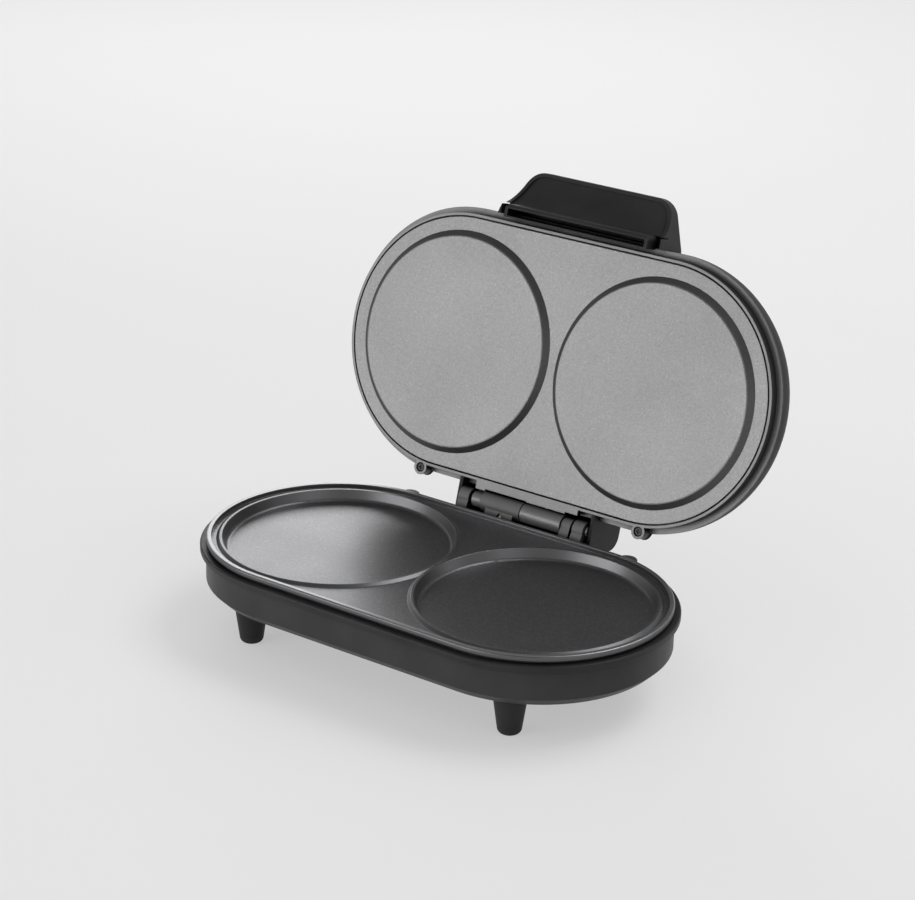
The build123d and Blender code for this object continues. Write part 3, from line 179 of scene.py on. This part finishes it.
class Finish(Nodes):
    """A procedural material. Lengths are in metres, measured on the object itself."""

    def __init__(self, name):
        self.material = bpy.data.materials.new(name)
        self.material.use_nodes = True
        super().__init__(self.material.node_tree)
        self.shader = self.tree.nodes["Principled BSDF"]
        coordinates = self.add("ShaderNodeTexCoord").outputs
        self.place = coordinates["Object"]
        self.direction = coordinates["Normal"]

    def noise(self, size, detail, stretch=(1, 1, 1)):
        """Cloudy noise whose patches are about size across."""
        mapping = self.add("ShaderNodeMapping")
        self.join(self.place, mapping.inputs["Vector"])
        mapping.inputs["Scale"].default_value = stretch
        texture = self.add("ShaderNodeTexNoise")
        self.join(mapping.outputs["Vector"], texture.inputs["Vector"])
        texture.inputs["Scale"].default_value = 1.0 / size
        texture.inputs["Detail"].default_value = detail
        return texture.outputs["Fac"]

    def cells(self, size):
        """Small cells about size across, each with a random colour of its own."""
        texture = self.add("ShaderNodeTexVoronoi")
        self.join(self.place, texture.inputs["Vector"])
        texture.inputs["Scale"].default_value = 1.0 / size
        return texture.outputs["Color"]

    def blend(self, share, first, second):
        """A colour between two others."""
        node = self.add("ShaderNodeMix", data_type="RGBA")
        self.join(share, node.inputs["Factor"])
        for socket, color in ((node.inputs["A"], first), (node.inputs["B"], second)):
            self.join(color if isinstance(color, bpy.types.NodeSocket) else (*color, 1.0), socket)
        return node.outputs["Result"]

    def facing(self, axis, low, high):
        """1 where the surface looks along the axis, 0 where it turns away. low and high are cosines."""
        node = self.add("ShaderNodeVectorMath", operation="DOT_PRODUCT")
        self.join(self.direction, node.inputs[0])
        node.inputs[1].default_value = axis
        return self.fit(node.outputs["Value"], low, high)

    def above(self, level):
        """1 over that height above the floor, measured at rest, and 0 under it."""
        return self.fit(self.height(self.place), level, level + edge_blur)

    def shade_mask(self, reach):
        """1 where little light reaches, deep in slots, gaps and inner corners up to reach wide, 0 on open
        faces: where shade is painted.
        """
        node = self.add("ShaderNodeAmbientOcclusion", samples=edge_rays)
        node.inputs["Distance"].default_value = reach
        return self.fit(node.outputs["AO"], 0.25, 0.85, 1.0, 0.0)

    def rounded(self, radius):
        """The surface's direction with its sharp edges rounded off."""
        node = self.add("ShaderNodeBevel", samples=edge_rays)
        node.inputs["Radius"].default_value = radius
        return node.outputs["Normal"]

    def highlight_edges(self, radius):
        """1 on sharp edges and 0 on open faces: where edges get a painted highlight."""
        flat = self.add("ShaderNodeNewGeometry").outputs["Normal"]
        node = self.add("ShaderNodeVectorMath", operation="DOT_PRODUCT")
        self.join(self.rounded(radius), node.inputs[0])
        self.join(flat, node.inputs[1])
        bend = self.math("SUBTRACT", 1.0, node.outputs["Value"])
        return self.fit(bend, 0.02, 0.35)

    def bump(self, height, depth, strength, under=None):
        """A relief of that depth over the direction given as under."""
        node = self.add("ShaderNodeBump")
        self.join(height, node.inputs["Height"])
        node.inputs["Distance"].default_value = depth
        node.inputs["Strength"].default_value = strength
        if under is not None:
            self.join(under, node.inputs["Normal"])
        return node.outputs["Normal"]

    def surface(self, color, roughness, normal=None, metallic=0.0, **plain):
        """Joins the shader's inputs. The plain ones are the same all over."""
        shader = self.shader.inputs
        self.join(color, shader["Base Color"])
        self.join(roughness, shader["Roughness"])
        self.join(metallic, shader["Metallic"])
        if normal is not None:
            self.join(normal, shader["Normal"])
        for name, value in plain.items():
            shader[name.replace("_", " ")].default_value = value
        return self.material


def moulded_plastic(name, color, lit, roughness, painted_sheen=None):
    """Satin moulded plastic: a fine spark-eroded grain and soft cloudiness, with a painted highlight
    on its sharp edges and painted shade in its gaps.

    Its tone lies between color and lit. The last argument is the tone of a painted sheen on the
    faces over collar_top that look the open lid's way.
    """
    edge_radius, highlight_share, highlight_gain = 0.0006, 0.5, 3.0
    shade_reach, gap_shade_tone = 0.012, (0.002, 0.002, 0.002)
    f = Finish(name)
    cloud = f.noise(size=0.05, detail=3.0)
    grit = f.noise(size=0.0007, detail=3.0)
    tone = f.blend(f.fit(cloud, 0.3, 0.7), color, lit)
    tone = f.blend(f.fit(grit, 0.55, 0.8, 0.0, 0.25), tone, lit)
    # Painted highlight: sharp edges are lightened towards a brighter copy of lit, as if light caught
    # them.
    edges = f.highlight_edges(edge_radius)
    tone = f.blend(f.math("MULTIPLY", edges, highlight_share), tone, scaled(lit, highlight_gain))
    # Painted sheen: faces over collar_top that look the open lid's way are lightened to the given tone.
    if painted_sheen:
        sheen_faces = f.math("MULTIPLY", f.above(collar_top), f.facing(lid_face, 0.1, 0.95))
        tone = f.blend(sheen_faces, tone, painted_sheen)
    # Painted shade: slots, gaps and inner corners are darkened to near black.
    tone = f.blend(f.shade_mask(shade_reach), tone, gap_shade_tone)
    smear = f.noise(size=0.012, detail=4.0, stretch=(1.0, 1.0, 0.35))
    rough = f.fit(f.math("ADD", cloud, smear), 0.6, 1.4, roughness - 0.05, roughness + 0.07)
    relief = f.bump(grit, depth=0.00006, strength=0.55, under=f.rounded(edge_radius))
    return f.surface(tone, rough, relief, IOR=1.49, Specular_IOR_Level=0.2)


def frame_paint(name, face_axis, color, side, roughness):
    """Metallic paint on the hinged frame: even on its face, with painted shade on its side walls and in
    its gaps.
    """
    shade_reach, gap_shade_tone = 0.010, (0.004, 0.004, 0.004)
    f = Finish(name)
    speck = f.noise(size=0.0012, detail=4.0)
    fleck = f.fit(f.cells(size=0.0007), 0.82, 1.0)
    cloud = f.noise(size=0.03, detail=3.0)
    tone = f.blend(f.fit(speck, 0.35, 0.65), scaled(color, 0.84), color)
    tone = f.blend(f.math("MULTIPLY", fleck, 0.4), tone, scaled(color, 1.5))
    # Painted shade: faces that turn away from face_axis are darkened towards side.
    tone = f.blend(f.facing(face_axis, 0.15, 0.95), side, tone)
    # Painted shade: gaps and inner corners are darkened to near black.
    tone = f.blend(f.shade_mask(shade_reach), tone, gap_shade_tone)
    rough = f.fit(f.math("ADD", speck, cloud), 0.7, 1.3, roughness - 0.04, roughness + 0.06)
    relief = f.bump(speck, depth=0.00005, strength=0.5, under=f.rounded(radius=0.0005))
    return f.surface(tone, rough, relief, metallic=0.3, IOR=1.5, Specular_IOR_Level=0.4)


def coated_casting(name, face_axis, color, dark, light, wall_shade, sheen_share, roughness, metallic):
    """Non-stick coating on a casting: fine metallic flecks in a dark binder.

    Steep walls get painted shade: their colour is the colour times the wall factor. The share
    after it is that of a painted highlight, towards light, on edges and on the lip's top.
    """
    f = Finish(name)
    fleck = f.fit(f.cells(size=0.0008), 0.80, 1.0)
    pit = f.fit(f.cells(size=0.0010), 0.0, 0.16, 1.0, 0.0)
    speck = f.noise(size=0.0015, detail=4.0)
    cloud = f.noise(size=0.07, detail=2.0)
    tone = f.blend(f.fit(speck, 0.35, 0.65), scaled(color, 0.86), scaled(color, 1.14))
    tone = f.blend(f.math("MULTIPLY", fleck, 0.55), tone, light)
    tone = f.blend(f.math("MULTIPLY", pit, 0.6), tone, dark)
    tone = f.blend(f.fit(cloud, 0.35, 0.65, 0.0, 0.03), tone, dark)
    # Painted shade: walls that turn away from face_axis are darkened to the colour times the wall factor.
    tone = f.blend(f.facing(face_axis, 0.72, 0.97), scaled(color, wall_shade), tone)
    # Painted highlight: sharp edges and the lip's top are lightened towards light by that share.
    if sheen_share:
        painted_sheen = f.math("MAXIMUM", f.highlight_edges(radius=0.0012), f.above(lip_shoulder))
        tone = f.blend(f.math("MULTIPLY", painted_sheen, sheen_share), tone, light)
    rough = f.fit(f.math("ADD", speck, cloud), 0.7, 1.3, roughness - 0.015, roughness + 0.035)
    lumps = f.noise(size=0.0016, detail=3.0)
    pebbles = f.bump(lumps, depth=0.00012, strength=0.35, under=f.rounded(radius=0.0007))
    relief = f.bump(speck, depth=0.00004, strength=0.5, under=pebbles)
    return f.surface(tone, rough, relief, metallic=metallic, IOR=1.6)


def drawn_steel(name, color, roughness, stretch, tint=None):
    """Drawn or rolled metal: fine lines along one direction and a few stains."""
    f = Finish(name)
    lines = f.noise(size=0.0007, detail=5.0, stretch=stretch)
    stains = f.noise(size=0.02, detail=3.0)
    tone = f.blend(f.fit(lines, 0.3, 0.7), scaled(color, 0.88), color)
    tone = f.blend(f.fit(stains, 0.45, 0.75, 0.0, 0.6), tone, tint or scaled(color, 0.8))
    rough = f.fit(lines, 0.3, 0.7, roughness - 0.06, roughness + 0.08)
    relief = f.bump(lines, depth=0.00003, strength=0.4, under=f.rounded(radius=0.0003))
    return f.surface(tone, rough, relief, metallic=1.0)


def foot_rubber(name):
    """Matt rubber with a dusty bloom and fine pores."""
    f = Finish(name)
    pores = f.noise(size=0.0008, detail=5.0)
    dust = f.noise(size=0.008, detail=4.0)
    tone = f.blend(f.fit(dust, 0.4, 0.75, 0.0, 0.5), (0.018, 0.018, 0.018), (0.055, 0.053, 0.050))
    rough = f.fit(pores, 0.3, 0.7, 0.62, 0.85)
    relief = f.bump(pores, depth=0.0001, strength=0.5, under=f.rounded(radius=0.0004))
    return f.surface(tone, rough, relief, Specular_IOR_Level=0.35)


def braided_sleeve(name):
    """Pale glass braid under silicone: crossed threads round each wire."""
    f = Finish(name)
    threads = f.noise(size=0.0006, detail=2.0, stretch=(3.0, 1.0, 1.0))
    crossed = f.noise(size=0.0006, detail=2.0, stretch=(1.0, 1.0, 3.0))
    weave = f.math("MAXIMUM", threads, crossed)
    tone = f.blend(f.fit(weave, 0.45, 0.7), (0.50, 0.48, 0.43), (0.78, 0.77, 0.72))
    rough = f.fit(weave, 0.4, 0.7, 0.55, 0.8)
    return f.surface(tone, rough, f.bump(weave, depth=0.0002, strength=0.6))


def clear_lens(name, color):
    """A dyed clear window with fine ribs in it."""
    f = Finish(name)
    ribs = f.noise(size=0.0012, detail=1.0, stretch=(1.0, 4.0, 1.0))
    tone = f.blend(f.fit(ribs, 0.35, 0.65), scaled(color, 0.7), color)
    rough = f.fit(ribs, 0.3, 0.7, 0.08, 0.16)
    relief = f.bump(ribs, depth=0.00006, strength=0.3, under=f.rounded(radius=0.0004))
    return f.surface(tone, rough, relief, Transmission_Weight=0.35, IOR=1.49)


def plain_moulding(name, color, dark, roughness, speck_size=0.0015):
    """Other mouldings and boards: mottled, with a fine skin."""
    f = Finish(name)
    mottle = f.noise(size=0.006, detail=4.0)
    speck = f.noise(size=speck_size, detail=4.0)
    tone = f.blend(f.fit(mottle, 0.35, 0.7), color, dark)
    tone = f.blend(f.fit(speck, 0.6, 0.8, 0.0, 0.5), tone, dark)
    rough = f.fit(speck, 0.3, 0.7, roughness - 0.05, roughness + 0.08)
    relief = f.bump(speck, depth=0.00006, strength=0.5, under=f.rounded(radius=0.0003))
    return f.surface(tone, rough, relief)


def dress():
    """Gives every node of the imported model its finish, by its name or else by its material slot."""
    by_slot = {
        "black_plastic": moulded_plastic(
            "satin_black", color=(0.017, 0.017, 0.0175), lit=(0.029, 0.029, 0.030), roughness=0.54
        ),
        "frame_plastic": frame_paint(
            # side is the painted shade of the frame's side walls.
            "frame_grey", lid_face, color=(0.22, 0.22, 0.222), side=(0.02, 0.02, 0.02), roughness=0.40
        ),
        # The base's and the lid's coatings are one coating in two copies: the lid's, which faces the
        # lamps, is painted lighter and the base's darker.
        "base_coating": coated_casting(
            "coating_shaded_copy",
            base_face,
            color=(0.16, 0.16, 0.165),
            dark=(0.05, 0.05, 0.052),
            light=(0.45, 0.45, 0.46),
            wall_shade=0.8,
            sheen_share=0.45,
            roughness=0.36,
            metallic=0.9,
        ),
        "lid_coating": coated_casting(
            "coating_lit_copy",
            lid_face,
            color=(0.22, 0.22, 0.22),
            dark=(0.10, 0.10, 0.10),
            light=(0.42, 0.42, 0.42),
            # The lid's disc walls get strong painted shade.
            wall_shade=0.15,
            sheen_share=0.0,
            roughness=0.44,
            metallic=0.6,
        ),
        "element_steel": drawn_steel(
            "element_sheath", (0.30, 0.28, 0.26), 0.45, (1, 6, 6), tint=(0.20, 0.15, 0.11)
        ),
        "sheet_steel": drawn_steel("zinc_sheet", (0.56, 0.57, 0.58), 0.38, (1, 9, 1)),
        "reflector_sheet": drawn_steel("bright_sheet", (0.74, 0.75, 0.76), 0.30, (1, 9, 9)),
        "screw_steel": drawn_steel("plated_screw", (0.46, 0.46, 0.47), 0.32, (4, 4, 1)),
        "dark_screw_steel": drawn_steel("blackened_steel", (0.045, 0.045, 0.046), 0.42, (4, 4, 1)),
        "pin_steel": drawn_steel("ground_steel", (0.48, 0.48, 0.49), 0.34, (1, 8, 8)),
        "foot_rubber": foot_rubber("rubber_tip"),
        "thermostat_case": plain_moulding("brown_phenolic", (0.32, 0.14, 0.06), (0.18, 0.07, 0.03), 0.42),
        "fuse_case": drawn_steel("fuse_can", (0.70, 0.67, 0.60), 0.35, (6, 1, 1)),
        "block_plastic": plain_moulding("cream_moulding", (0.70, 0.67, 0.56), (0.55, 0.51, 0.40), 0.5),
        "wire_sleeve": braided_sleeve("glass_braid"),
        "board": plain_moulding(
            "paper_laminate", (0.36, 0.20, 0.08), (0.24, 0.13, 0.05), 0.55, speck_size=0.0006
        ),
        "lamp": clear_lens("lamp_glass", (0.80, 0.62, 0.50)),
        "red_lens": clear_lens("red_window", (0.55, 0.02, 0.015)),
        "green_lens": clear_lens("green_window", (0.02, 0.34, 0.05)),
    }
    by_name = {
        "base_frame": moulded_plastic(
            "hinge_black",
            color=(0.019, 0.019, 0.0195),
            lit=(0.031, 0.031, 0.032),
            roughness=0.44,
            # A painted sheen on the hinge's faces that look the open lid's way.
            painted_sheen=(0.16, 0.16, 0.162),
        ),
        "base_shell": moulded_plastic(
            "tub_black", color=(0.030, 0.030, 0.031), lit=(0.044, 0.044, 0.045), roughness=0.44
        ),
    }
    for row in frame["record"]["subparts"]:
        mesh = frame["nodes"][row["node"]].data
        mesh.materials.clear()
        mesh.materials.append(by_name.get(row["node"], by_slot[row["material_slot"]]))


def make_floor():
    """A wide pale floor, which takes the backdrop's tone further out, so that no horizon shows."""
    data = bpy.data.meshes.new("floor")
    corners = [(x * floor_half, y * floor_half, 0) for x, y in ((-1, -1), (1, -1), (1, 1), (-1, 1))]
    data.from_pydata(corners, [], [(0, 1, 2, 3)])
    floor = bpy.data.objects.new("floor", data)
    bpy.context.scene.collection.objects.link(floor)
    f = Finish("pale_floor")
    cloud = f.noise(size=0.4, detail=2.0)
    tone = f.blend(f.fit(cloud, 0.3, 0.7), (0.78, 0.78, 0.78), (0.80, 0.80, 0.80))
    data.materials.append(f.surface(tone, roughness=0.75, Specular_IOR_Level=0.2))
    straight, mirrored = f.looks()
    distance = f.add("ShaderNodeVectorMath", operation="LENGTH")
    f.join(f.place, distance.inputs[0])
    share = f.fit(distance.outputs["Value"], fade_starts, fade_full, near_share, 1.0)
    glow = f.add("ShaderNodeEmission")
    glow.inputs["Color"].default_value = (backdrop, backdrop, backdrop, 1.0)
    shown = f.add("ShaderNodeMixShader")
    f.join(f.math("MULTIPLY", f.math("MAXIMUM", straight, mirrored), share), shown.inputs["Fac"])
    f.join(f.shader.outputs["BSDF"], shown.inputs[1])
    f.join(glow.outputs["Emission"], shown.inputs[2])
    f.join(shown.outputs["Shader"], f.tree.nodes["Material Output"].inputs["Surface"])


def make_world():
    """A plain pale studio: light all round, with a darker ceiling in what shines."""
    world = bpy.data.worlds.new("studio")
    bpy.context.scene.world = world
    world.use_nodes = True
    w = Nodes(world.node_tree)
    background = w.tree.nodes["Background"]
    background.inputs["Color"].default_value = (1.0, 1.0, 1.0, 1.0)
    slope = w.height(w.add("ShaderNodeTexCoord").outputs["Generated"])
    room = w.fit(slope, ceiling_starts, ceiling_full, backdrop, ceiling)
    straight, mirrored = w.looks()
    strength = w.mix(straight, w.mix(mirrored, light_all_round, room), backdrop)
    w.join(strength, background.inputs["Strength"])


make_camera()
make_floor()
make_world()
for lamp in lamps:
    make_lamp(*lamp)
dress()

bpy.context.scene.view_settings.view_transform = "Standard"
